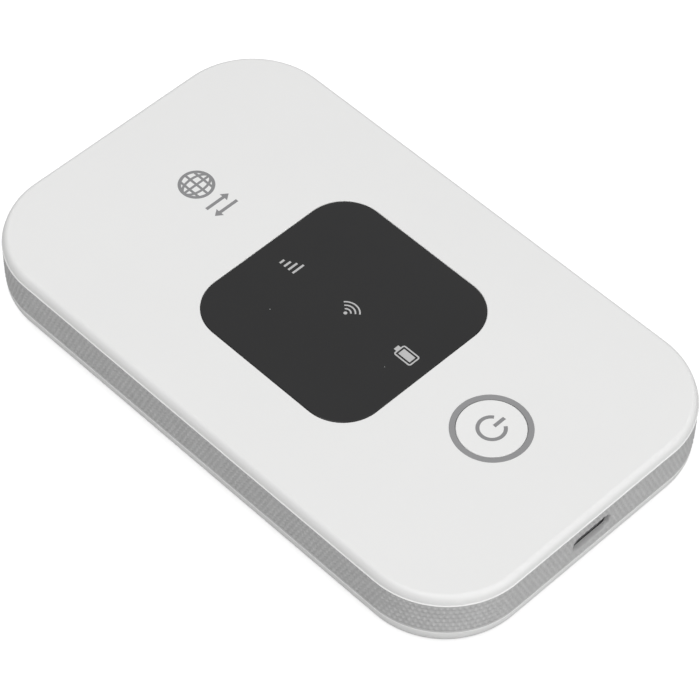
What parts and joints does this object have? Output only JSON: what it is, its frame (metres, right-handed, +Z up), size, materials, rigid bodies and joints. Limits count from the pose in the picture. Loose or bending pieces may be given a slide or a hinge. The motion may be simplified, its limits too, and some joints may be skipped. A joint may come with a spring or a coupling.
{
  "type": "mobile hotspot",
  "caption": "Flat pocket router with a round-cornered case, square black window, round power key, dotted side band, charging port, and a clip-off back cover over a battery.",
  "frame": {"origin": "centre of the resting face on the floor, under the middle of the case", "axes": "+X along the length towards the charging port, +Y across the width, +Z up through the display window"},
  "size_m": [0.0974, 0.058, 0.0118],
  "materials": {
    "white_shell": "satin white moulding",
    "white_key": "satin white cap",
    "grey_band": "fine dotted grey texture",
    "grey_ring": "smooth grey",
    "window_black": "high gloss black, lightly smoked",
    "chassis_grey": "fine spark texture",
    "battery_wrap": "printed film over a thin metal can",
    "board_green": "solder mask",
    "black_plastic": "moulded",
    "carrier_ivory": "moulded",
    "steel": "stamped or turned",
    "gold": "gold plated",
    "copper": "foil",
    "tape_black": "adhesive foam",
    "diffuser_milk": "translucent, even",
    "led_white": "lens over a small lamp",
    "ferrite": "sintered",
    "passive_tan": "ceramic"
  },
  "bodies": {
    "cover": {"back_cover": "white_shell"},
    "battery": {"battery_pack": "battery_wrap", "battery_terminals": "gold"},
    "power_button": {"power_key": "white_key", "power_switch_stem": "black_plastic"},
    "reset_button": {"reset_pin": "white_key", "reset_switch_stem": "black_plastic"},
    "housing": {"top_shell": "white_shell", "display_window": "window_black", "window_tape": "tape_black", "icon_frame": "black_plastic", "icon_diffusers": "diffuser_milk", "icon_leds": "led_white", "key_bezel": "grey_ring", "power_switch_body": "black_plastic", "side_band": "grey_band", "rear_chassis": "chassis_grey", "chassis_screws": "steel", "main_board": "board_green", "modem_shield": "steel", "wifi_shield": "steel", "modem_chip": "black_plastic", "memory_chip": "black_plastic", "wifi_chip": "black_plastic", "power_chip": "black_plastic", "power_inductor": "ferrite", "board_passives": "passive_tan", "crystal": "steel", "usb_receptacle": "steel", "usb_blade": "black_plastic", "usb_contacts": "gold", "sim_base": "black_plastic", "sim_cover": "steel", "battery_connector": "black_plastic", "battery_contacts": "gold", "reset_switch_body": "black_plastic", "antenna_carrier": "carrier_ivory", "main_antenna": "copper", "wifi_antenna": "copper", "antenna_springs": "gold"}
  },
  "joints": [
    {"name": "cover_release", "type": "slide", "parent": "cover", "child": "housing", "axis": [0, 0, 1], "range_m": [0, 0.03]},
    {"name": "battery_release", "type": "slide", "parent": "housing", "child": "battery", "axis": [0, 0, -1], "range_m": [0, 0.015]},
    {"name": "power_press", "type": "slide", "parent": "housing", "child": "power_button", "axis": [0, 0, -1], "range_m": [0, 0.0002], "stiffness_N_per_m": 2000, "springref_m": -0.0003},
    {"name": "reset_press", "type": "slide", "parent": "housing", "child": "reset_button", "axis": [0, 0, 1], "range_m": [0, 0.0002], "stiffness_N_per_m": 1500, "springref_m": -0.0002}
  ],
  "couplings": [
    {"joint": "battery_release", "follows": "cover_release", "ratio": 0.5}
  ]
}
